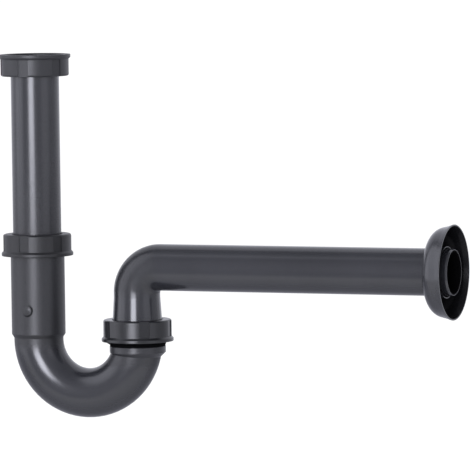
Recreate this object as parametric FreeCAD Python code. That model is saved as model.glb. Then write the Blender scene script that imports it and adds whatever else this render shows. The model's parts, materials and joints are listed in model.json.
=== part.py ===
import FreeCAD, Part
import math
import os

from FreeCAD import Vector

# Tubular P-trap for a washbasin, G 1 1/4 inlet nut and 32 mm outlet pipe, all in millimetres.
# The inlet axis is Z. The outlet pipe runs towards +X, and the bend, riser and pipe share the XZ plane.
# The origin is on the inlet axis, where the thread of the inlet nut starts, just below its mouth.

# Inlet tube, which the socket, the threads, the nuts and the bend are sized round
TUBE_R = 16.7
TUBE_WALL = 1.8
TUBE_LENGTH = 160.0
TUBE_END_CHAMFER = 1.0
FLANGE_OVER_THREAD_CORE = 0.7
FLANGE_HEIGHT = 2.2
FLANGE_ROOT_ROUND = 0.8
SOCKET_CLEARANCE = 0.25
SOCKET_WALL = 1.65

# Thread G 1 1/4: the helix is cosmetic, so a nut is bored to the thread's root
# and a spigot is turned down to its core.
THREAD_CORE_OVER_SOCKET = 0.9
THREAD_DEPTH = 1.455
THREAD_ROOT_CLEARANCE = 0.145

# Union nuts, three of the same moulding
NUT_HEIGHT = 15.0
NUT_WALL = 2.4
NUT_LIP_REACH = 1.25
NUT_LIP_HEIGHT = 2.0
NUT_LIP_TAPER = 1.4
NUT_EDGE_ROUND = 1.4
NUT_LEAD_IN = 0.6
NUT_SHOULDER = 2.6
NUT_RELIEF_DEPTH = 0.5
NUT_HOLE_CLEARANCE = 0.5
NUT_GRIP_COUNT = 6
NUT_GRIP_WIDTH = 7.2
NUT_GRIP_DEPTH = 0.75
NUT_MARK_R = 2.7
NUT_MARK_DEPTH = 0.2
INLET_NUT_TURN = -86.5
BEND_NUT_TURN = 210.0
OUTLET_NUT_TURN = 175.7

# Seals and the washer
FLAT_SEAL_HEIGHT = 2.5
FLAT_SEAL_HOLE_INSIDE_TUBE = 1.1
CONE_SEAL_HEAD = 1.5
CONE_SEAL_NOSE = 5.6
CONE_SEAL_TIP_WALL = 0.7
WASHER_HEIGHT = 1.2
WASHER_HOLE_CLEARANCE = 0.35
SEAT_GAP = 0.05

# Trap bend: the spring line is where its two legs turn into the U
TUBE_FOOT_ABOVE_SPRING = 26.35
BEND_RADIUS = 37.0
BEND_OVER_TUBE = 0.3
BEND_WALL = 1.9
BEND_NUT_TOP_ABOVE_SPRING = 72.5
OUTLET_NUT_TOP_ABOVE_SPRING = 14.7
SOCKET_FOOT_ABOVE_SPRING = 3.4
SOCKET_FOOT_CONE = 2.6
SOCKET_STOP_ABOVE_SPRING = 8.0
SOCKET_THREAD_LENGTH = 9.2
THREAD_RUN_OUT = 0.9
SPIGOT_WALL = 2.9
SPIGOT_BORE_CONE = 3.0
COLLAR_INSIDE_THREAD_CORE = 0.2
COLLAR_TOP_BELOW_SPRING = 3.6
COLLAR_HEIGHT = 4.3
COLLAR_CONE_HEIGHT = 3.7
COLLAR_CONE_END_INSIDE_BEND = 1.6
MOUTH_ROUND = 0.4

# Print of a round mould insert on the socket, a flat disc with a bare pin
INSERT_R = 4.0
INSERT_HEIGHT = 0.2
INSERT_PIN_R = 1.2
INSERT_PIN_HEIGHT = 0.35
INSERT_ABOVE_SPRING = 20.5
INSERT_TURN = -91.5

# Outlet pipe with its elbow
PIPE_INSIDE_TUBE = 0.7
PIPE_WALL = 1.8
PIPE_REACH = 230.0
ELBOW_INSIDE_R = 1.8
RISER_ROOT_OVER_PIPE = 1.0
RISER_CONE_TOP_ABOVE_SPRING = 30.0
RISER_STRAIGHT = 2.8
PIPE_END_CHAMFER = 1.2

# Wall rosette
ROSETTE_DEPTH = 16.2
ROSETTE_SHOULDER_DEPTH = 13.8
ROSETTE_SHOULDER_OVER_PIPE = 12.8
ROSETTE_SHOULDER_ROUND = 10.0
ROSETTE_SIDE_FLARE = 2.4
ROSETTE_SIDE_SWEEP = 8.0
ROSETTE_WALL = 1.3
ROSETTE_RIM_OVER_PIPE = 16.3
ROSETTE_RIM_HEIGHT = 3.4
ROSETTE_RIM_WALL = 1.2
ROSETTE_SLEEVE_CLEARANCE = 0.2
ROSETTE_SLEEVE_WALL = 1.15
ROSETTE_SLEEVE_SETBACK = 5.0
ROSETTE_EDGE_ROUND = 0.3
ROSETTE_RIM_ROUND = 0.2

# Places that follow from the sizes above
SOCKET_BORE_R = TUBE_R + SOCKET_CLEARANCE
SOCKET_R = SOCKET_BORE_R + SOCKET_WALL
THREAD_CORE_R = SOCKET_R + THREAD_CORE_OVER_SOCKET
THREAD_MAJOR_R = THREAD_CORE_R + THREAD_DEPTH
THREAD_ROOT_R = THREAD_MAJOR_R + THREAD_ROOT_CLEARANCE
FLANGE_R = THREAD_CORE_R + FLANGE_OVER_THREAD_CORE
FLAT_SEAL_HOLE_R = TUBE_R - FLAT_SEAL_HOLE_INSIDE_TUBE
BEND_TUBE_R = TUBE_R + BEND_OVER_TUBE
SPIGOT_BORE_R = THREAD_CORE_R - SPIGOT_WALL
COLLAR_R = THREAD_CORE_R - COLLAR_INSIDE_THREAD_CORE
COLLAR_CONE_END_R = BEND_TUBE_R - COLLAR_CONE_END_INSIDE_BEND
PIPE_R = TUBE_R - PIPE_INSIDE_TUBE
RISER_ROOT_R = PIPE_R + RISER_ROOT_OVER_PIPE
ELBOW_RADIUS = PIPE_R + ELBOW_INSIDE_R
NUT_HOLE_R = RISER_ROOT_R + NUT_HOLE_CLEARANCE
NUT_PAD_R = THREAD_ROOT_R + NUT_WALL
NUT_LIP_R = NUT_PAD_R + NUT_LIP_REACH
NUT_STACK = NUT_SHOULDER + FLANGE_HEIGHT + FLAT_SEAL_HEIGHT + 2 * SEAT_GAP
NUT_RELIEF_END = NUT_STACK + SEAT_GAP + NUT_RELIEF_DEPTH
MOUTH_Z = NUT_LEAD_IN
TUBE_FLANGE_FOOT_Z = MOUTH_Z - NUT_HEIGHT + NUT_SHOULDER + SEAT_GAP
TUBE_TOP_Z = TUBE_FLANGE_FOOT_Z + FLANGE_HEIGHT
TUBE_FOOT_Z = TUBE_TOP_Z - TUBE_LENGTH
SPRING_Z = TUBE_FOOT_Z - TUBE_FOOT_ABOVE_SPRING
BEND_NUT_TOP_Z = SPRING_Z + BEND_NUT_TOP_ABOVE_SPRING
OUTLET_NUT_TOP_Z = SPRING_Z + OUTLET_NUT_TOP_ABOVE_SPRING
RISER_X = 2 * BEND_RADIUS
RISER_CONE_TOP_Z = SPRING_Z + RISER_CONE_TOP_ABOVE_SPRING
RISER_TOP_Z = RISER_CONE_TOP_Z + RISER_STRAIGHT
PIPE_AXIS_Z = RISER_TOP_Z + ELBOW_RADIUS
PIPE_END_X = RISER_X + PIPE_REACH
WASHER_TOP_Z = BEND_NUT_TOP_Z - NUT_SHOULDER - SEAT_GAP
WASHER_FOOT_Z = WASHER_TOP_Z - WASHER_HEIGHT
CONE_SEAL_TOP_Z = WASHER_FOOT_Z - SEAT_GAP
SOCKET_TOP_Z = CONE_SEAL_TOP_Z - CONE_SEAL_HEAD - SEAT_GAP
SPIGOT_TOP_Z = OUTLET_NUT_TOP_Z - NUT_STACK - SEAT_GAP
BORE_R = BEND_TUBE_R - BEND_WALL
SEAL_BORE_R = TUBE_R + SEAT_GAP
PIPE_BORE_R = PIPE_R - PIPE_WALL
AXIS_Z = Vector(0, 0, 1)


def turned(profile, x=0.0, y=0.0):
    """A solid turned about the vertical axis at x, y from a closed list of (radius, height) corners.

    A corner with a third value is rounded with that radius.
    """
    edges = rounded_edges(profile)
    face = Part.Face(Part.Wire(edges))
    solid = face.revolve(Vector(0, 0, 0), AXIS_Z, 360)
    solid.translate(Vector(x, y, 0))
    return solid


def rounded_edges(profile):
    """The edges of a closed outline in the XZ plane, with the corners that state a radius rounded."""
    starts = []
    ends = []
    arcs = []
    count = len(profile)
    for index, corner in enumerate(profile):
        here = Vector(corner[0], 0, corner[1])
        radius = corner[2] if len(corner) > 2 else 0
        if not radius:
            starts.append(here)
            ends.append(here)
            arcs.append(None)
            continue
        before = profile[index - 1]
        after = profile[(index + 1) % count]
        back = (Vector(before[0], 0, before[1]) - here).normalize()
        forth = (Vector(after[0], 0, after[1]) - here).normalize()
        half = back.getAngle(forth) / 2
        reach = radius / math.tan(half)
        middle = (back + forth).normalize()
        centre = here + middle * (radius / math.sin(half))
        start = here + back * reach
        end = here + forth * reach
        starts.append(start)
        ends.append(end)
        arcs.append(Part.Arc(start, centre - middle * radius, end).toShape())
    edges = []
    for index in range(count):
        if arcs[index]:
            edges.append(arcs[index])
        following = (index + 1) % count
        edges.append(Part.LineSegment(ends[index], starts[following]).toShape())
    return edges


def elbow(radius, tube_r, centre, first_angle, sweep):
    """A round bar bent in the XZ plane about centre, from first_angle, measured from +X towards +Z."""
    angle = math.radians(first_angle)
    start = centre + Vector(math.cos(angle), 0, math.sin(angle)) * radius
    along = Vector(-math.sin(angle), 0, math.cos(angle))
    section = Part.Face(Part.Wire(Part.makeCircle(tube_r, start, along)))
    return section.revolve(centre, Vector(0, -1, 0), sweep)


def union_nut(turn):
    """Nut with its closed end at height 0 and its mouth up, turned by that many degrees."""
    lip_foot = NUT_HEIGHT - NUT_LIP_HEIGHT
    body = turned(
        [
            (NUT_HOLE_R, 0, MOUTH_ROUND),
            (NUT_PAD_R, 0, NUT_EDGE_ROUND),
            (NUT_PAD_R, lip_foot - NUT_LIP_TAPER),
            (NUT_LIP_R, lip_foot, MOUTH_ROUND),
            (NUT_LIP_R, NUT_HEIGHT, MOUTH_ROUND),
            (THREAD_ROOT_R + NUT_LEAD_IN, NUT_HEIGHT),
            (THREAD_ROOT_R, NUT_HEIGHT - NUT_LEAD_IN),
            (THREAD_ROOT_R, NUT_RELIEF_END),
            (THREAD_ROOT_R + NUT_RELIEF_DEPTH, NUT_RELIEF_END - NUT_RELIEF_DEPTH),
            (THREAD_ROOT_R + NUT_RELIEF_DEPTH, NUT_SHOULDER),
            (NUT_HOLE_R, NUT_SHOULDER),
        ]
    )
    grip = Part.makeBox(
        NUT_PAD_R,
        NUT_GRIP_WIDTH,
        lip_foot - NUT_LIP_TAPER + NUT_EDGE_ROUND,
        Vector(NUT_PAD_R - NUT_GRIP_DEPTH, -NUT_GRIP_WIDTH / 2, -NUT_EDGE_ROUND),
    )
    recesses = []
    for index in range(NUT_GRIP_COUNT):
        recess = grip.copy()
        recess.rotate(Vector(0, 0, 0), AXIS_Z, 360 / NUT_GRIP_COUNT * index)
        recesses.append(recess)
    mark_floor = NUT_PAD_R - NUT_GRIP_DEPTH - NUT_MARK_DEPTH
    mark = Part.makeCylinder(
        NUT_MARK_R, NUT_PAD_R, Vector(mark_floor, 0, lip_foot / 2), Vector(1, 0, 0)
    )
    nut = body.cut(Part.makeCompound(recesses)).cut(mark)
    nut.rotate(Vector(0, 0, 0), AXIS_Z, turn)
    return nut


def nut_mouth_down(turn, x, top_z):
    """The same nut upside down, with its closed end at top_z on the vertical axis at x."""
    nut = union_nut(turn)
    nut.rotate(Vector(0, 0, 0), Vector(1, 0, 0), 180)
    nut.translate(Vector(x, 0, top_z))
    return nut


def inlet_union_nut():
    nut = union_nut(INLET_NUT_TURN)
    nut.translate(Vector(0, 0, MOUTH_Z - NUT_HEIGHT))
    return nut


def flat_seal(x, foot_z):
    top_z = foot_z + FLAT_SEAL_HEIGHT
    return turned(
        [
            (FLAT_SEAL_HOLE_R, foot_z),
            (FLANGE_R, foot_z),
            (FLANGE_R, top_z),
            (FLAT_SEAL_HOLE_R, top_z),
        ],
        x,
    )


def inlet_tube():
    """Adjusting tube: a flange that the nut pulls up against the seal, and a plain chamfered end."""
    bore = TUBE_R - TUBE_WALL
    return turned(
        [
            (bore, TUBE_FOOT_Z),
            (TUBE_R - TUBE_END_CHAMFER / 2, TUBE_FOOT_Z),
            (TUBE_R, TUBE_FOOT_Z + TUBE_END_CHAMFER),
            (TUBE_R, TUBE_FLANGE_FOOT_Z, FLANGE_ROOT_ROUND / 2),
            (FLANGE_R, TUBE_FLANGE_FOOT_Z),
            (FLANGE_R, TUBE_TOP_Z, MOUTH_ROUND),
            (bore, TUBE_TOP_Z, FLANGE_ROOT_ROUND),
        ]
    )


def inlet_flat_seal():
    return flat_seal(0, TUBE_TOP_Z)


def bend_union_nut():
    return nut_mouth_down(BEND_NUT_TURN, 0, BEND_NUT_TOP_Z)


def bend_friction_washer():
    """Plastic washer that lets the nut turn without dragging the cone seal round."""
    hole = TUBE_R + WASHER_HOLE_CLEARANCE
    return turned(
        [
            (hole, WASHER_FOOT_Z),
            (THREAD_MAJOR_R, WASHER_FOOT_Z),
            (THREAD_MAJOR_R, WASHER_TOP_Z, MOUTH_ROUND),
            (hole, WASHER_TOP_Z),
        ]
    )


def cone_seat_r():
    """Radius of the socket's conical seat at its mouth."""
    return THREAD_CORE_R - 2 * MOUTH_ROUND


def bend_cone_seal():
    """Seal with a flat head under the washer and a conical nose in the mouth of the socket."""
    foot = SOCKET_TOP_Z - CONE_SEAL_NOSE
    return turned(
        [
            (SEAL_BORE_R, foot + SEAT_GAP),
            (SEAL_BORE_R + CONE_SEAL_TIP_WALL, foot + SEAT_GAP),
            (cone_seat_r() - SEAT_GAP, SOCKET_TOP_Z + SEAT_GAP),
            (THREAD_CORE_R, SOCKET_TOP_Z + SEAT_GAP),
            (THREAD_CORE_R, CONE_SEAL_TOP_Z, MOUTH_ROUND),
            (SEAL_BORE_R, CONE_SEAL_TOP_Z),
        ]
    )


def trap_bend():
    """Socket, U-bend, collar and threaded spigot, moulded in one piece round one waterway."""
    thread_foot = SOCKET_TOP_Z - SOCKET_THREAD_LENGTH
    socket_foot = SPRING_Z + SOCKET_FOOT_ABOVE_SPRING
    socket_outside = turned(
        [
            (0, SPRING_Z),
            (BEND_TUBE_R, SPRING_Z),
            (BEND_TUBE_R, socket_foot - SOCKET_FOOT_CONE),
            (SOCKET_R, socket_foot, MOUTH_ROUND * 2),
            (SOCKET_R, thread_foot - THREAD_RUN_OUT),
            (THREAD_CORE_R, thread_foot),
            (THREAD_CORE_R, SOCKET_TOP_Z, MOUTH_ROUND),
            (0, SOCKET_TOP_Z),
        ]
    )
    collar_top = SPRING_Z - COLLAR_TOP_BELOW_SPRING
    collar_foot = collar_top - COLLAR_HEIGHT
    spigot_outside = turned(
        [
            (0, collar_foot - COLLAR_CONE_HEIGHT),
            (COLLAR_CONE_END_R, collar_foot - COLLAR_CONE_HEIGHT),
            (COLLAR_R, collar_foot, MOUTH_ROUND),
            (COLLAR_R, collar_top, MOUTH_ROUND),
            (THREAD_CORE_R - MOUTH_ROUND, collar_top),
            (THREAD_CORE_R - MOUTH_ROUND, collar_top + THREAD_RUN_OUT),
            (THREAD_CORE_R, collar_top + THREAD_RUN_OUT + MOUTH_ROUND),
            (THREAD_CORE_R, SPIGOT_TOP_Z, MOUTH_ROUND),
            (0, SPIGOT_TOP_Z),
        ],
        RISER_X,
    )
    centre = Vector(BEND_RADIUS, 0, SPRING_Z)
    u_outside = elbow(BEND_RADIUS, BEND_TUBE_R, centre, 180, 180)
    outside = u_outside.fuse([socket_outside, spigot_outside, insert_print()]).removeSplitter()

    stop_z = SPRING_Z + SOCKET_STOP_ABOVE_SPRING
    socket_bore = turned(
        [
            (0, SPRING_Z),
            (BORE_R, SPRING_Z),
            (BORE_R, stop_z),
            (SOCKET_BORE_R, stop_z),
            (SOCKET_BORE_R, SOCKET_TOP_Z - CONE_SEAL_NOSE),
            (SEAL_BORE_R + CONE_SEAL_TIP_WALL + SEAT_GAP, SOCKET_TOP_Z - CONE_SEAL_NOSE),
            (cone_seat_r(), SOCKET_TOP_Z),
            (0, SOCKET_TOP_Z),
        ]
    )
    spigot_bore = turned(
        [
            (0, SPRING_Z),
            (BORE_R, SPRING_Z),
            (SPIGOT_BORE_R, SPRING_Z + SPIGOT_BORE_CONE),
            (SPIGOT_BORE_R, SPIGOT_TOP_Z),
            (0, SPIGOT_TOP_Z),
        ],
        RISER_X,
    )
    u_bore = elbow(BEND_RADIUS, BORE_R, centre, 180, 180)
    return outside.cut([u_bore, socket_bore, spigot_bore])


def insert_print():
    """What the mould's round insert leaves on the socket: a flat-faced disc with a pin on it."""
    foot = Vector(SOCKET_R - SOCKET_WALL / 2, 0, SPRING_Z + INSERT_ABOVE_SPRING)
    outwards = Vector(1, 0, 0)
    height = SOCKET_WALL / 2 + INSERT_HEIGHT
    disc = Part.makeCylinder(INSERT_R, height, foot, outwards)
    disc = disc.fuse(Part.makeCylinder(INSERT_PIN_R, height + INSERT_PIN_HEIGHT, foot, outwards))
    disc.rotate(Vector(0, 0, 0), AXIS_Z, INSERT_TURN)
    return disc


def outlet_union_nut():
    return nut_mouth_down(OUTLET_NUT_TURN, RISER_X, OUTLET_NUT_TOP_Z)


def outlet_flat_seal():
    return flat_seal(RISER_X, SPIGOT_TOP_Z)


def outlet_pipe():
    """Flanged riser, tight elbow and wall pipe, moulded in one piece."""
    flange_foot = SPIGOT_TOP_Z + FLAT_SEAL_HEIGHT + SEAT_GAP
    flange_top = flange_foot + FLANGE_HEIGHT
    riser_outside = turned(
        [
            (0, flange_foot),
            (FLANGE_R, flange_foot),
            (FLANGE_R, flange_top, MOUTH_ROUND),
            (RISER_ROOT_R, flange_top, FLANGE_ROOT_ROUND / 2),
            (RISER_ROOT_R, OUTLET_NUT_TOP_Z),
            (PIPE_R, RISER_CONE_TOP_Z),
            (PIPE_R, RISER_TOP_Z),
            (0, RISER_TOP_Z),
        ],
        RISER_X,
    )
    centre = Vector(RISER_X + ELBOW_RADIUS, 0, RISER_TOP_Z)
    elbow_outside = elbow(ELBOW_RADIUS, PIPE_R, centre, 90, 90)
    pipe_start = Vector(RISER_X + ELBOW_RADIUS, 0, PIPE_AXIS_Z)
    along_x = Vector(1, 0, 0)
    straight = PIPE_END_X - pipe_start.x
    pipe_outside = Part.makeCylinder(PIPE_R, straight - PIPE_END_CHAMFER, pipe_start, along_x)
    end_cone = Part.makeCone(
        PIPE_R,
        PIPE_R - PIPE_END_CHAMFER / 2,
        PIPE_END_CHAMFER,
        pipe_start + along_x * (straight - PIPE_END_CHAMFER),
        along_x,
    )
    outside = riser_outside.fuse([elbow_outside, pipe_outside, end_cone]).removeSplitter()

    riser_bore = Part.makeCylinder(
        PIPE_BORE_R, RISER_TOP_Z - flange_foot, Vector(RISER_X, 0, flange_foot), AXIS_Z
    )
    elbow_bore = elbow(ELBOW_RADIUS, PIPE_BORE_R, centre, 90, 90)
    pipe_bore = Part.makeCylinder(PIPE_BORE_R, straight, pipe_start, along_x)
    return outside.cut(riser_bore.fuse([elbow_bore, pipe_bore]))


def wall_rosette():
    """Thin round-shouldered cover with an out-turned rim on the wall and an inner sleeve round the pipe."""
    sleeve_r = PIPE_R + ROSETTE_SLEEVE_CLEARANCE
    neck_r = sleeve_r + ROSETTE_SLEEVE_WALL
    shoulder_r = PIPE_R + ROSETTE_SHOULDER_OVER_PIPE
    side_r = shoulder_r + ROSETTE_SIDE_FLARE
    rim_r = PIPE_R + ROSETTE_RIM_OVER_PIPE
    inner_round = ROSETTE_SHOULDER_ROUND - ROSETTE_WALL
    cover = turned(
        [
            (sleeve_r, ROSETTE_SLEEVE_SETBACK),
            (neck_r, ROSETTE_SLEEVE_SETBACK),
            (neck_r, ROSETTE_DEPTH - ROSETTE_WALL),
            (shoulder_r - ROSETTE_WALL, ROSETTE_SHOULDER_DEPTH - ROSETTE_WALL, inner_round),
            (side_r - ROSETTE_WALL, ROSETTE_RIM_HEIGHT),
            (rim_r - ROSETTE_RIM_WALL, 0),
            (rim_r, 0, ROSETTE_RIM_ROUND),
            (side_r, ROSETTE_RIM_HEIGHT, ROSETTE_SIDE_SWEEP),
            (shoulder_r, ROSETTE_SHOULDER_DEPTH, ROSETTE_SHOULDER_ROUND),
            (sleeve_r, ROSETTE_DEPTH, ROSETTE_EDGE_ROUND),
        ]
    )
    cover.rotate(Vector(0, 0, 0), Vector(0, 1, 0), -90)
    cover.translate(Vector(PIPE_END_X, 0, PIPE_AXIS_Z))
    return cover


NODES = {
    "inlet_union_nut": inlet_union_nut,
    "inlet_flat_seal": inlet_flat_seal,
    "inlet_tube": inlet_tube,
    "bend_union_nut": bend_union_nut,
    "bend_friction_washer": bend_friction_washer,
    "bend_cone_seal": bend_cone_seal,
    "trap_bend": trap_bend,
    "outlet_union_nut": outlet_union_nut,
    "outlet_flat_seal": outlet_flat_seal,
    "outlet_pipe": outlet_pipe,
    "wall_rosette": wall_rosette,
}

os.makedirs("parts", exist_ok=True)
for name, build in NODES.items():
    shape = build()
    if shape.ShapeType != "Solid" and len(shape.Solids) == 1:
        shape = shape.Solids[0]
    if not shape.isValid() or len(shape.Solids) != 1:
        raise SystemExit(f"{name} is not one valid solid")
    shape.exportStep(f"parts/{name}.step")
    box = shape.BoundBox
    print(
        f"{name:22s} volume {shape.Volume:10.1f}  faces {len(shape.Faces):3d}  "
        f"x {box.XMin:7.2f} {box.XMax:7.2f}  z {box.ZMin:7.2f} {box.ZMax:7.2f}"
    )
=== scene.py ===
import json
import math

import bmesh
import bpy
from mathutils import Matrix, Vector


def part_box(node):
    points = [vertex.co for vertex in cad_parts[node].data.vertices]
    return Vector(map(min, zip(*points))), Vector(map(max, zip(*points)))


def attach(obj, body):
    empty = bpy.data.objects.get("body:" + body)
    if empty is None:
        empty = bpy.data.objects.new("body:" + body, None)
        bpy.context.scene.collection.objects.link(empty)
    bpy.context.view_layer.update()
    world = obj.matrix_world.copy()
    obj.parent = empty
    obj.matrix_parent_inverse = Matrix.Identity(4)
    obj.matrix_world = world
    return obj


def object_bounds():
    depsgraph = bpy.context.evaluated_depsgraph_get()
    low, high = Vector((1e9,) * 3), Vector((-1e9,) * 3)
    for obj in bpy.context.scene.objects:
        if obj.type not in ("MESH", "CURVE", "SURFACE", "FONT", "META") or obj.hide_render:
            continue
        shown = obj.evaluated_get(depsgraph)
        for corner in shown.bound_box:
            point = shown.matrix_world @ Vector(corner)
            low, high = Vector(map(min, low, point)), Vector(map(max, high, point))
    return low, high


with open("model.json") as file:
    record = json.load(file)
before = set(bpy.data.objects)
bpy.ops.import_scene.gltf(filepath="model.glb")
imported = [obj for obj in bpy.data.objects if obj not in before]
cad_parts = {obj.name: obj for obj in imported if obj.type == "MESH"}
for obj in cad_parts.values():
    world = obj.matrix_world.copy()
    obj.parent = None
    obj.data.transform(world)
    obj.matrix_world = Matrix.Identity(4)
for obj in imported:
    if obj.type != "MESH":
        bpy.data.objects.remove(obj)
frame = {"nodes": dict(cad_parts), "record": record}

MM = 0.001
X, Y, Z = range(3)
CAD_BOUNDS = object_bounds()
NODES = frame["nodes"]
BODY_OF = {
    node: body
    for body, members in frame["record"]["behaviour"]["bodies"].items()
    for node in members
}

# Camera: seen from a little above and from the outlet's side, through a long lens
CAMERA_PLACE = Vector((1.39202, -3.17455, 0.12146))
CAMERA_AZIMUTH = math.radians(21.418)
CAMERA_PITCH = math.radians(4.089)
CAMERA_ROLL = math.radians(-0.741)
CAMERA_REACH = 20
SENSOR = 36.0
LENS = 384.84

# Level directions from the part towards the camera and to the camera's right. The studio stands on them.
TOWARDS_CAMERA = Vector((math.sin(CAMERA_AZIMUTH), -math.cos(CAMERA_AZIMUTH), 0))
CAMERA_SIDE = Vector((math.cos(CAMERA_AZIMUTH), math.sin(CAMERA_AZIMUTH), 0))

# Floor, in metres. Its glow rises towards the camera over a stretch measured from the inlet axis.
FLOOR_DROP = 0.45
FLOOR_FRONT = 0.85
FLOOR_BACK = 4.0
FLOOR_HALF_WIDTH = 2.6
FLOOR_COLOUR = (0.56, 0.56, 0.58, 1)
FLOOR_GLOW = 0.9
FLOOR_GLOW_RISE = (-0.25, 0.6)

# Studio light, in units where 1 shows as white. A panel is its left edge, right edge and softness
# in degrees, counted from the camera to the right. A rise or fade gives the sines of the elevations
# between which a light comes or goes, and the back's the cosines of the angle from the camera.
CAMERA_WHITE = 1.06
LIGHT_TINT = (0.97, 0.98, 1.09, 1)
PLAIN_TINT = (1, 1, 1, 1)
FRONT_RADIANCE = 0.85
TOP_RADIANCE = 0.45
TOP_RISE = (0.45, 0.95)
BACK_RADIANCE = 1.1
BACK_FADE = (-0.42, -0.36)
LEFT_PANEL = (-103, -62, 8)
LEFT_RADIANCE = 1.5
LEFT_FADE = (0.8, 0.95)
RIGHT_PANEL = (31, 67, 7)
RIGHT_RADIANCE = 0.65
RIGHT_FADE = (0.3, 0.6)
STRIP_PANEL = (-29.2, -6, 3.5)
STRIP_RADIANCE = 15.0
STRIP_RISE = (-0.135, -0.08)
STRIP_FADE = (0.2, 0.48)
STRIP_GAIN = 0.3
STRIP_GAIN_RISE = (0.06, 0.18)

# Colours, each plastic as its two cloudy shades
BODY_PLASTIC = ((0.0145, 0.0149, 0.0172, 1), (0.0175, 0.018, 0.0207, 1))
NUT_PLASTIC = ((0.005, 0.0052, 0.006, 1), (0.0065, 0.0067, 0.0077, 1))
# Painted shade: the colour that the matt share darkens towards, and the near-black of the dull surface
# put where shade falls
SHADED_PLASTIC = (0.003, 0.003, 0.0035, 1)
UNLIT_PLASTIC = (0.001, 0.001, 0.0012, 1)
RUBBER = ((0.012, 0.012, 0.013, 1), (0.024, 0.024, 0.025, 1))
WASHER_PLASTIC = ((0.6, 0.6, 0.57, 1), (0.7, 0.7, 0.67, 1))

# Skin of the moulded plastic. A scale is in repeats a metre, and a pattern fades in between its edges.
CLOUD_SCALE = 22
CLOUD_EDGES = (0.3, 0.7)
CLOUD_ROUGHNESS = 0.03
SCUFF_SCALE = 70
SCUFF_EDGES = (0.56, 0.72)
SCUFF_ROUGHNESS = 0.05
SPECK_SCALE = 4500
SPECK_EDGES = (0.66, 0.72)
SPECK_SPREAD = 0.4
SKIN_SCALE = 160
PORE_SCALE = 1500
PORE_SHARE = 0.4
SKIN_STRENGTH = 0.1
SKIN_DEPTH = 0.3 * MM
MATT_ROUGHNESS = 0.45
# Painted shade that a full matt share mixes into the colour
MATT_PAINTED_SHADE = 0.7
UNLIT_ROUGHNESS = 0.8
UNLIT_INDEX = 1.1

# Rubber seals and the undyed washer
BLOOM_SCALE = 60
BLOOM_EDGES = (0.35, 0.75)
BLOOM_ROUGHNESS = 0.15
RUBBER_ROUGHNESS = 0.55
RUBBER_GRAIN_SCALE = 900
RUBBER_GRAIN_STRENGTH = 0.2
WASHER_CLOUD_SCALE = 50
WASHER_CLOUD_ROUGHNESS = 0.1
WASHER_ROUGHNESS = 0.4

# Sizes of the bend, which the threads and the finish follow
BEND_RADIUS = 37 * MM
BEND_TUBE_RADIUS = 17 * MM
RISER_X = 2 * BEND_RADIUS

# Matt shares of the skin, which also darken its colour as painted shade, and the heights between which
# they come or go. They are counted from the origin, or from the spring line, where the legs turn into
# the U. Names with X give places along x.
TUBE_MATT_AND_SHADE = 0.66
TUBE_MATT_FADE = (-160 * MM, -10 * MM)
NUT_MATT_AND_SHADE = 0.85
NUT_MATT_RISE = (-170 * MM, -160 * MM)
ELBOW_MATT_AND_SHADE = 0.5
ELBOW_MATT_RISE = (-168 * MM, -158 * MM)
ELBOW_MATT_FADE_X = (85 * MM, 100 * MM)
SOCKET_MATT_AND_SHADE = 0.8
SOCKET_RISE_FROM_SPRING = (3.2 * MM, 4.2 * MM)
SPIGOT_MATT_AND_SHADE = 0.6
SPIGOT_RISE_FROM_SPRING = (-22 * MM, -14 * MM)
LEG_RISE_FROM_SPRING = (-12 * MM, 1 * MM)
OUTLET_SIDE_X = (40 * MM, 50 * MM)

# Painted shade in the gap between the collar and the outlet nut, from the spring line
GAP_RISE_FROM_SPRING = (-3.7 * MM, -3.5 * MM)
GAP_FADE_FROM_SPRING = (-0.3 * MM, 0)

# Print of the round mould insert on the socket: its place, its bulge and the painted shade round its edge
INSERT_X = -0.5 * MM
INSERT_ABOVE_SPRING = 20.5 * MM
INSERT_SIDE_Y = (-17.5 * MM, -17 * MM)
INSERT_BULGE = 0.55 * MM
INSERT_BULGE_RADIUS = 3.6 * MM
INSERT_RING_RISE = (3.1 * MM, 3.5 * MM)
INSERT_RING_FADE = (4.2 * MM, 4.6 * MM)
INSERT_LEE = (-3 * MM, 3 * MM)
INSERT_LEE_SLANT = 0.5
INSERT_SHADE = 0.85

# Painted shade inside the pipe and the rosette, and the arrises on their ends, which it leaves lit
PIPE_STRAIGHT_X = (120 * MM, 130 * MM)
PIPE_CORE_RADIUS = 1 * MM
SLEEVE_OUTSIDE_RADIUS = 18.2 * MM
OUTSIDE_SOFTNESS = 0.2 * MM
FACING_OUT = (0.001, 0.003)
FACING_ELBOW = (-0.6, -0.3)
MOUTH_RADII = (24 * MM, 33 * MM)
MOUTH_LIGHT = 0.22
PIPE_END_RADIUS = 15.5 * MM
SLEEVE_END_RADIUS = 17.35 * MM
ARRIS_WIDTH = 0.45 * MM
RIM_ARRIS_WIDTH = 0.9 * MM
ARRIS_SOFTNESS = 0.3
ARRIS_OVERSHOOT = 0.1 * MM

# Whitworth thread of the nuts and spigots
PITCH = 2.309 * MM
THREAD_CORE = 19.5 * MM
THREAD_ROOT = 21.1 * MM
RIDGE_HEIGHT = 1.4 * MM
RIDGE_FOOT = 0.88 * MM
RIDGE_CREST = 0.17 * MM
RIDGE_SINK = 0.05 * MM
STEPS_PER_TURN = 96
SHARP_EDGE = math.radians(30)
NUT_LEAD_IN = 0.6 * MM
NUT_THREAD_END = 7.05 * MM
SOCKET_BELOW_SEAL_TOP = 1.6 * MM
SOCKET_THREAD_LENGTH = 9.2 * MM
SPIGOT_THREAD_LENGTH = 9.9 * MM
SPIGOT_LEAD_IN = 0.5 * MM

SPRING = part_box("trap_bend")[0].z + BEND_RADIUS + BEND_TUBE_RADIUS
ROSETTE_LOW, ROSETTE_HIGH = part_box("wall_rosette")
PIPE_AXIS = (ROSETTE_LOW.z + ROSETTE_HIGH.z) / 2
ROSETTE_RADIUS = (ROSETTE_HIGH.z - ROSETTE_LOW.z) / 2


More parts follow.
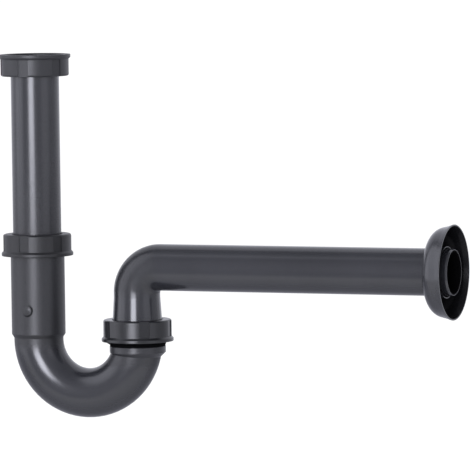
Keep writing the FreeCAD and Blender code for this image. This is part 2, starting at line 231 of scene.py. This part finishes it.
class Value:
    """A shader value or vector that can be used in a Python expression."""

    def __init__(self, tree, socket):
        self.tree = tree
        self.socket = socket

    def _maths(self, operation, *values):
        return shade(self.tree, "ShaderNodeMath", {"operation": operation}, dict(enumerate(values)))

    def __add__(self, other):
        return self._maths("ADD", self, other)

    def __radd__(self, other):
        return self._maths("ADD", other, self)

    def __sub__(self, other):
        return self._maths("SUBTRACT", self, other)

    def __rsub__(self, other):
        return self._maths("SUBTRACT", other, self)

    def __mul__(self, other):
        return self._maths("MULTIPLY", self, other)

    def __rmul__(self, other):
        return self._maths("MULTIPLY", other, self)

    def root(self):
        return self._maths("SQRT", self)

    def angle(self, other):
        """The angle of the point (other, self) about the origin, in radians."""
        return self._maths("ARCTAN2", self, other)

    def mixed(self, first, second):
        """first where this value is 0 and second where it is 1."""
        return self * (second - first) + first

    def step(self, low, high):
        """0 below low and 1 above high, smooth between them."""
        return shade(
            self.tree,
            "ShaderNodeMapRange",
            {"interpolation_type": "SMOOTHSTEP"},
            {"Value": self, "From Min": low, "From Max": high},
        )


def plug(tree, value, socket):
    """Links a shader value to a socket, or sets the socket to a plain number or colour."""
    if isinstance(value, Value):
        tree.links.new(value.socket, socket)
    else:
        socket.default_value = value


def shade(tree, kind, settings=None, sockets=None, output=0):
    """Adds a node, sets it up and feeds its sockets with numbers, colours or other nodes' values."""
    node = tree.nodes.new(kind)
    for name, value in (settings or {}).items():
        setattr(node, name, value)
    for name, value in (sockets or {}).items():
        plug(tree, value, node.inputs[name])
    return Value(tree, node.outputs[output])


def emptied_tree(owner):
    """The node tree of a material or a world, with nothing in it."""
    owner.use_nodes = True
    for node in list(owner.node_tree.nodes):
        owner.node_tree.nodes.remove(node)
    return owner.node_tree


def new_material(name):
    material = bpy.data.materials.new(name)
    return material, emptied_tree(material)


def show(tree, output_kind, shader):
    """Ends a material's or a world's tree in its output."""
    out = tree.nodes.new(output_kind)
    tree.links.new(shader.socket, out.inputs["Surface"])


def object_place(tree):
    return shade(tree, "ShaderNodeTexCoord", output="Object")


def object_normal(tree):
    """The surface's normal in the piece's own axes, so that it turns with the piece at a joint."""
    return shade(tree, "ShaderNodeTexCoord", output="Normal")


def camera_ray(tree):
    """1 where the camera sees something directly, and 0 in reflections and in light."""
    return shade(tree, "ShaderNodeLightPath", output="Is Camera Ray")


def noise(tree, place, scale, detail=2.0, roughness=0.5):
    sockets = {"Vector": place, "Scale": scale, "Detail": detail, "Roughness": roughness}
    return shade(tree, "ShaderNodeTexNoise", sockets=sockets)


def vector_maths(tree, operation, *vectors, output="Vector"):
    return shade(
        tree,
        "ShaderNodeVectorMath",
        {"operation": operation},
        dict(enumerate(vectors)),
        output,
    )


def along(tree, vector, direction):
    """How far a vector reaches in a direction."""
    return vector_maths(tree, "DOT_PRODUCT", vector, direction, output="Value")


def part_of(tree, place, axis):
    """One of the three coordinates of a place."""
    return along(tree, place, [1 if index == axis else 0 for index in range(3)])


def mixed_colour(tree, amount, first, second):
    """first where amount is 0 and second where it is 1.

    The Mix node has its colours at inputs 6 and 7 and at output 2.
    """
    sockets = {"Factor": amount, 6: first, 7: second}
    return shade(tree, "ShaderNodeMix", {"data_type": "RGBA"}, sockets, 2)


def bumped(tree, **sockets):
    return shade(tree, "ShaderNodeBump", sockets=sockets)


def principled(tree, sockets):
    return shade(tree, "ShaderNodeBsdfPrincipled", sockets=sockets)


def moulded_plastic(name, colours, gloss, index, matt_and_painted_shade=None, shaded=None, relief=None):
    """Injection-moulded plastic: cloudy flow marks, an orange-peel skin and fine matt specks.

    gloss is the roughness of its clean skin and index its refractive index.
    matt_and_painted_shade tells from the place how much of the skin has gone matt and how much painted
    shade darkens its colour.
    shaded tells from the place where painted shade goes: a dull, near-black surface that hardly catches
    light.
    relief tells from the place how far the surface bulges, in metres.
    """
    material, tree = new_material(name)
    place = object_place(tree)
    cloud = noise(tree, place, CLOUD_SCALE, detail=3)
    skin = noise(tree, place, SKIN_SCALE, detail=2)
    pores = noise(tree, place, PORE_SCALE, detail=1)
    scuffs = noise(tree, place, SCUFF_SCALE, detail=6, roughness=0.75).step(*SCUFF_EDGES)
    colour = mixed_colour(tree, cloud.step(*CLOUD_EDGES), *colours)
    roughness = gloss + cloud * CLOUD_ROUGHNESS + scuffs * SCUFF_ROUGHNESS
    if matt_and_painted_shade is not None:
        share = matt_and_painted_shade(tree, place)
        grit = noise(tree, place, SPECK_SCALE, detail=1)
        specks = (grit + share * SPECK_SPREAD).step(*SPECK_EDGES)
        roughness = specks.mixed(roughness, MATT_ROUGHNESS)
        # Painted shade: the matt share darkens the colour towards SHADED_PLASTIC.
        colour = mixed_colour(tree, share * MATT_PAINTED_SHADE, colour, SHADED_PLASTIC)
    grain = skin * (1 - PORE_SHARE) + pores * PORE_SHARE
    bump = bumped(tree, Strength=SKIN_STRENGTH, Distance=SKIN_DEPTH, Height=grain)
    if relief is not None:
        bump = bumped(tree, Strength=1.0, Distance=1.0, Height=relief(tree, place), Normal=bump)
    sockets = {"Base Color": colour, "Roughness": roughness, "Normal": bump, "IOR": index}
    shader = principled(tree, sockets)
    if shaded is not None:
        # Painted shade: a near-black, dull surface mixed in where the shaded mask says
        sockets = {"Base Color": UNLIT_PLASTIC, "Roughness": UNLIT_ROUGHNESS, "IOR": UNLIT_INDEX}
        painted_shade = principled(tree, sockets)
        sockets = {0: shaded(tree, place), 1: shader, 2: painted_shade}
        shader = shade(tree, "ShaderNodeMixShader", sockets=sockets)
    show(tree, "ShaderNodeOutputMaterial", shader)
    return material


def rubber(name):
    """Matt rubber with a pale bloom on it."""
    material, tree = new_material(name)
    place = object_place(tree)
    bloom = noise(tree, place, BLOOM_SCALE, detail=4).step(*BLOOM_EDGES)
    colour = mixed_colour(tree, bloom, *RUBBER)
    roughness = bloom * BLOOM_ROUGHNESS + RUBBER_ROUGHNESS
    grain = noise(tree, place, RUBBER_GRAIN_SCALE, detail=2)
    bump = bumped(tree, Strength=RUBBER_GRAIN_STRENGTH, Distance=SKIN_DEPTH, Height=grain)
    shader = principled(tree, {"Base Color": colour, "Roughness": roughness, "Normal": bump})
    show(tree, "ShaderNodeOutputMaterial", shader)
    return material


def natural_plastic(name):
    """Undyed plastic, a little cloudy."""
    material, tree = new_material(name)
    cloud = noise(tree, object_place(tree), WASHER_CLOUD_SCALE, detail=3).step(*CLOUD_EDGES)
    colour = mixed_colour(tree, cloud, *WASHER_PLASTIC)
    roughness = cloud * WASHER_CLOUD_ROUGHNESS + WASHER_ROUGHNESS
    shader = principled(tree, {"Base Color": colour, "Roughness": roughness})
    show(tree, "ShaderNodeOutputMaterial", shader)
    return material


# Matt skin and painted shade, growing towards the bottom of the tube
def tube_matt_and_shade(tree, place):
    return TUBE_MATT_AND_SHADE - part_of(tree, place, Z).step(*TUBE_MATT_FADE) * TUBE_MATT_AND_SHADE


# Matt skin and painted shade on the nuts that stand above a height
def nut_matt_and_shade(tree, place):
    return part_of(tree, place, Z).step(*NUT_MATT_RISE) * NUT_MATT_AND_SHADE


# Matt skin and painted shade on the riser's top and the elbow, up to the straight pipe
def elbow_matt_and_shade(tree, place):
    before_the_pipe = 1 - part_of(tree, place, X).step(*ELBOW_MATT_FADE_X)
    return part_of(tree, place, Z).step(*ELBOW_MATT_RISE) * before_the_pipe * ELBOW_MATT_AND_SHADE


# Matt skin and painted shade on the socket, the spigot and the top of the inlet leg
def bend_matt_and_shade(tree, place):
    height = part_of(tree, place, Z) - SPRING
    outlet_side = part_of(tree, place, X).step(*OUTLET_SIDE_X)
    socket = height.step(*SOCKET_RISE_FROM_SPRING)
    spigot = outlet_side * height.step(*SPIGOT_RISE_FROM_SPRING) * SPIGOT_MATT_AND_SHADE
    leg = (1 - outlet_side) * height.step(*LEG_RISE_FROM_SPRING)
    return socket * SOCKET_MATT_AND_SHADE + (1 - socket) * (spigot + leg)


def insert_place(tree, place):
    """How far across, up and in all a place is from the insert's middle, and whether on its side."""
    across = part_of(tree, place, X) - INSERT_X
    up = part_of(tree, place, Z) - (SPRING + INSERT_ABOVE_SPRING)
    near = 1 - part_of(tree, place, Y).step(*INSERT_SIDE_Y)
    return across, up, (across * across + up * up).root(), near


def insert_bulge(tree, place):
    distance, near = insert_place(tree, place)[2:]
    return near * (1 - distance.step(0, INSERT_BULGE_RADIUS)) * INSERT_BULGE


def bend_shade(tree, place):
    """Painted shade in the gap under the outlet nut, and on the shaded side of the insert's edge."""
    height = part_of(tree, place, Z) - SPRING
    gap = height.step(*GAP_RISE_FROM_SPRING) * (1 - height.step(*GAP_FADE_FROM_SPRING))
    across, up, distance, near = insert_place(tree, place)
    ring = distance.step(*INSERT_RING_RISE) * (1 - distance.step(*INSERT_RING_FADE))
    lee = (across - up * INSERT_LEE_SLANT).step(*INSERT_LEE)
    outlet_side = part_of(tree, place, X).step(*OUTLET_SIDE_X)
    return outlet_side * gap + ring * (lee * INSERT_SHADE) * near


def inside_pipe(outer_radius, edges):
    """Tells where to paint shade: where a surface faces the pipe's axis or its open end, or is nearer
    than outer_radius.

    The painted shade lets a little light through towards the mouth of the rosette. A band inside each of
    the edges, given by its radius and width, is left out, where the end's arris catches light.
    """

    def mask(tree, place):
        centred = vector_maths(tree, "SUBTRACT", place, (0, 0, PIPE_AXIS))
        radial = vector_maths(tree, "MULTIPLY", centred, (0, 1, 1))
        radius = vector_maths(tree, "LENGTH", radial, output="Value")
        normal = object_normal(tree)
        outside = radius.step(outer_radius - OUTSIDE_SOFTNESS, outer_radius)
        outward = along(tree, radial, normal).step(*FACING_OUT) * outside
        to_the_elbow = 1 - part_of(tree, normal, X).step(*FACING_ELBOW)
        straight = part_of(tree, place, X).step(*PIPE_STRAIGHT_X)
        lit = radius.step(*MOUTH_RADII) * MOUTH_LIGHT
        painted_shade = (1 - outward) * (1 - to_the_elbow) * straight * (1 - lit)
        for edge, width in edges:
            from_inside = radius.step(edge - width, edge - width * (1 - ARRIS_SOFTNESS))
            to_outside = 1 - radius.step(edge, edge + ARRIS_OVERSHOOT)
            painted_shade = painted_shade * (1 - from_inside * to_outside)
        return painted_shade

    return mask


def dress(material, *names):
    """Gives CAD nodes that keep their own shape their material."""
    for name in names:
        mesh = NODES[name].data
        mesh.materials.clear()
        mesh.materials.append(material)


def link_mesh(name, bm, material):
    """Makes an object of a finished bmesh, at the origin."""
    mesh = bpy.data.meshes.new(name)
    bm.to_mesh(mesh)
    bm.free()
    mesh.materials.append(material)
    piece = bpy.data.objects.new(name, mesh)
    bpy.context.scene.collection.objects.link(piece)
    return piece


def thread(name, node, material, centre_x, foot, top, phase, inward):
    """A right-hand thread ridge as a helical bar, round a spigot or, if inward, in a nut's bore.

    It lies between the heights foot and top. A higher phase shifts its turns up.
    """
    base = THREAD_ROOT + RIDGE_SINK if inward else THREAD_CORE - RIDGE_SINK
    reach = RIDGE_HEIGHT + RIDGE_SINK
    crest = base - reach if inward else base + reach
    start = foot + RIDGE_FOOT
    turns = (top - foot - 2 * RIDGE_FOOT) / PITCH
    begin = 2 * math.pi * ((start - phase) / PITCH)
    bm = bmesh.new()
    corners = [
        bm.verts.new((base, 0, start - RIDGE_FOOT)),
        bm.verts.new((crest, 0, start - RIDGE_CREST)),
        bm.verts.new((crest, 0, start + RIDGE_CREST)),
        bm.verts.new((base, 0, start + RIDGE_FOOT)),
    ]
    section = bm.faces.new(corners)
    turn = Matrix.Rotation(begin, 3, "Z")
    bmesh.ops.rotate(bm, cent=(0, 0, 0), matrix=turn, verts=bm.verts)
    steps = round(turns * STEPS_PER_TURN)
    bmesh.ops.spin(
        bm,
        geom=[section],
        cent=(0, 0, 0),
        axis=(0, 0, 1),
        dvec=(0, 0, turns * PITCH / steps),
        angle=turns * 2 * math.pi,
        steps=steps,
    )
    bmesh.ops.translate(bm, vec=(centre_x, 0, 0), verts=bm.verts)
    open_edges = [edge for edge in bm.edges if len(edge.link_faces) == 1]
    if open_edges:
        bmesh.ops.holes_fill(bm, edges=open_edges)
    bmesh.ops.recalc_face_normals(bm, faces=bm.faces)
    piece = link_mesh(name, bm, material)
    piece.data.shade_smooth()
    piece.data.set_sharp_from_angle(angle=SHARP_EDGE)
    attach(piece, BODY_OF[node])


def nut_thread(prefix, material, centre_x, foot, phase):
    """The thread in a union nut's bore, from its height foot on."""
    top = foot + NUT_THREAD_END - NUT_LEAD_IN
    thread(prefix + "_nut_thread", prefix + "_union_nut", material, centre_x, foot, top, phase, True)


def spigot_thread(name, material, centre_x, length, end):
    """The thread on the bend's socket or spigot, which ends at the height end."""
    foot = end - length
    top = end - SPIGOT_LEAD_IN
    thread(name, "trap_bend", material, centre_x, foot, top, 0, False)


def add_threads(body_plastic, nut_plastic):
    """Thread ridges on the socket and the spigot of the bend, and in the three nuts round them."""
    nut_thread("inlet", nut_plastic, 0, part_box("inlet_union_nut")[1].z - NUT_THREAD_END, 0)
    for prefix, x in (("bend", 0), ("outlet", RISER_X)):
        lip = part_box(prefix + "_union_nut")[0].z
        nut_thread(prefix, nut_plastic, x, lip + NUT_LEAD_IN, PITCH / 2)
    socket_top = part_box("bend_cone_seal")[1].z - SOCKET_BELOW_SEAL_TOP
    spigot_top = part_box("outlet_flat_seal")[0].z
    spigot_thread("socket_thread", body_plastic, 0, SOCKET_THREAD_LENGTH, socket_top)
    spigot_thread("spigot_thread", body_plastic, RISER_X, SPIGOT_THREAD_LENGTH, spigot_top)


def make_pieces():
    pipe_edges = [(PIPE_END_RADIUS, ARRIS_WIDTH)]
    rosette_edges = [(SLEEVE_END_RADIUS, ARRIS_WIDTH), (ROSETTE_RADIUS, RIM_ARRIS_WIDTH)]
    tube_plastic = moulded_plastic(
        "tube_polypropylene", BODY_PLASTIC, gloss=0.2, index=1.48, matt_and_painted_shade=tube_matt_and_shade
    )
    pipe_plastic = moulded_plastic(
        "pipe_polypropylene",
        BODY_PLASTIC,
        gloss=0.145,
        index=1.45,
        matt_and_painted_shade=elbow_matt_and_shade,
        shaded=inside_pipe(PIPE_CORE_RADIUS, pipe_edges),
    )
    rosette_plastic = moulded_plastic(
        "rosette_polypropylene",
        BODY_PLASTIC,
        gloss=0.17,
        index=1.49,
        shaded=inside_pipe(SLEEVE_OUTSIDE_RADIUS, rosette_edges),
    )
    bend_plastic = moulded_plastic(
        "bend_polypropylene",
        BODY_PLASTIC,
        gloss=0.19,
        index=1.46,
        matt_and_painted_shade=bend_matt_and_shade,
        shaded=bend_shade,
        relief=insert_bulge,
    )
    inlet_nut_plastic = moulded_plastic(
        "inlet_nut_polypropylene", BODY_PLASTIC, gloss=0.27, index=1.46, matt_and_painted_shade=nut_matt_and_shade
    )
    nut_plastic = moulded_plastic(
        "nut_polypropylene", NUT_PLASTIC, gloss=0.27, index=1.44, matt_and_painted_shade=nut_matt_and_shade
    )
    dress(tube_plastic, "inlet_tube")
    dress(pipe_plastic, "outlet_pipe")
    dress(rosette_plastic, "wall_rosette")
    dress(bend_plastic, "trap_bend")
    dress(inlet_nut_plastic, "inlet_union_nut")
    dress(nut_plastic, "bend_union_nut", "outlet_union_nut")
    dress(rubber("seal_rubber"), "inlet_flat_seal", "bend_cone_seal", "outlet_flat_seal")
    dress(natural_plastic("washer_polyethylene"), "bend_friction_washer")
    add_threads(bend_plastic, nut_plastic)


def camera_axes():
    """The camera's right, up and forward directions in the row's frame."""
    level_forward = -TOWARDS_CAMERA
    forward = level_forward * math.cos(CAMERA_PITCH) - Vector((0, 0, math.sin(CAMERA_PITCH)))
    level_up = CAMERA_SIDE.cross(forward)
    right = CAMERA_SIDE * math.cos(CAMERA_ROLL) + level_up * math.sin(CAMERA_ROLL)
    up = level_up * math.cos(CAMERA_ROLL) - CAMERA_SIDE * math.sin(CAMERA_ROLL)
    return right, up, forward


def place_camera():
    data = bpy.data.cameras.new("camera")
    data.sensor_width = SENSOR
    data.lens = LENS
    data.clip_end = CAMERA_REACH
    camera = bpy.data.objects.new("camera", data)
    bpy.context.scene.collection.objects.link(camera)
    right, up, forward = camera_axes()
    turn = Matrix((right, up, -forward)).transposed().to_4x4()
    camera.matrix_world = Matrix.Translation(CAMERA_PLACE) @ turn
    bpy.context.scene.camera = camera


def pale_floor():
    """Floor paint that shows white, and glows in reflections towards the camera's side."""
    material, tree = new_material("pale_floor")
    diffuse = shade(tree, "ShaderNodeBsdfDiffuse", sockets={"Color": FLOOR_COLOUR})
    forward = along(tree, object_place(tree), TOWARDS_CAMERA)
    lit = forward.step(*FLOOR_GLOW_RISE) * FLOOR_GLOW
    glow = camera_ray(tree).mixed(lit, CAMERA_WHITE)
    lift = shade(tree, "ShaderNodeEmission", sockets={"Strength": glow})
    both = shade(tree, "ShaderNodeAddShader", sockets={0: diffuse, 1: lift})
    show(tree, "ShaderNodeOutputMaterial", both)
    return material


def lay_floor():
    """A pale floor below the hanging trap. Its front edge is where the photo's reflections end."""
    bm = bmesh.new()
    bmesh.ops.create_grid(bm, x_segments=1, y_segments=1, size=1)
    half_depth = (FLOOR_BACK + FLOOR_FRONT) / 2
    middle = (FLOOR_BACK - FLOOR_FRONT) / 2
    bmesh.ops.scale(bm, vec=(FLOOR_HALF_WIDTH, half_depth, 1), verts=bm.verts)
    bmesh.ops.translate(bm, vec=(0, middle, 0), verts=bm.verts)
    turn = Matrix.Rotation(CAMERA_AZIMUTH, 3, "Z")
    bmesh.ops.rotate(bm, cent=(0, 0, 0), matrix=turn, verts=bm.verts)
    low, high = CAD_BOUNDS
    centre = Vector(((low[0] + high[0]) / 2, 0, low[2] - FLOOR_DROP))
    bmesh.ops.translate(bm, vec=centre, verts=bm.verts)
    floor = link_mesh("floor", bm, pale_floor())


def panel(azimuth, left, right, softness):
    """1 between two azimuths in degrees, with soft edges."""
    rise = azimuth.step(math.radians(left - softness), math.radians(left + softness))
    fall = azimuth.step(math.radians(right - softness), math.radians(right + softness))
    return rise * (1 - fall)


def light_world():
    """A tent round the part: bright behind, a strip and a panel on the left, a dim panel on the right."""
    world = bpy.data.worlds.new("studio")
    bpy.context.scene.world = world
    tree = emptied_tree(world)
    ray = shade(tree, "ShaderNodeTexCoord", output="Generated")
    facing = along(tree, ray, TOWARDS_CAMERA)
    height = along(tree, ray, (0, 0, 1))
    azimuth = along(tree, ray, CAMERA_SIDE).angle(facing)
    back = 1 - facing.step(*BACK_FADE)
    front = FRONT_RADIANCE + height.step(*TOP_RISE) * (TOP_RADIANCE - FRONT_RADIANCE)
    left_height = 1 - height.step(*LEFT_FADE)
    right_height = 1 - height.step(*RIGHT_FADE)
    strip_gain = 1 + height.step(*STRIP_GAIN_RISE) * STRIP_GAIN
    strip_height = height.step(*STRIP_RISE) * (1 - height.step(*STRIP_FADE)) * strip_gain
    studio = back.mixed(front, BACK_RADIANCE)
    studio = studio + panel(azimuth, *LEFT_PANEL) * left_height * LEFT_RADIANCE
    studio = studio + panel(azimuth, *RIGHT_PANEL) * right_height * RIGHT_RADIANCE
    studio = studio + panel(azimuth, *STRIP_PANEL) * strip_height * STRIP_RADIANCE
    seen = camera_ray(tree)
    strength = seen.mixed(studio, CAMERA_WHITE)
    tint = mixed_colour(tree, seen, LIGHT_TINT, PLAIN_TINT)
    background = shade(tree, "ShaderNodeBackground", sockets={"Color": tint, "Strength": strength})
    show(tree, "ShaderNodeOutputWorld", background)


make_pieces()
place_camera()
lay_floor()
light_world()
bpy.context.scene.view_settings.view_transform = "Standard"
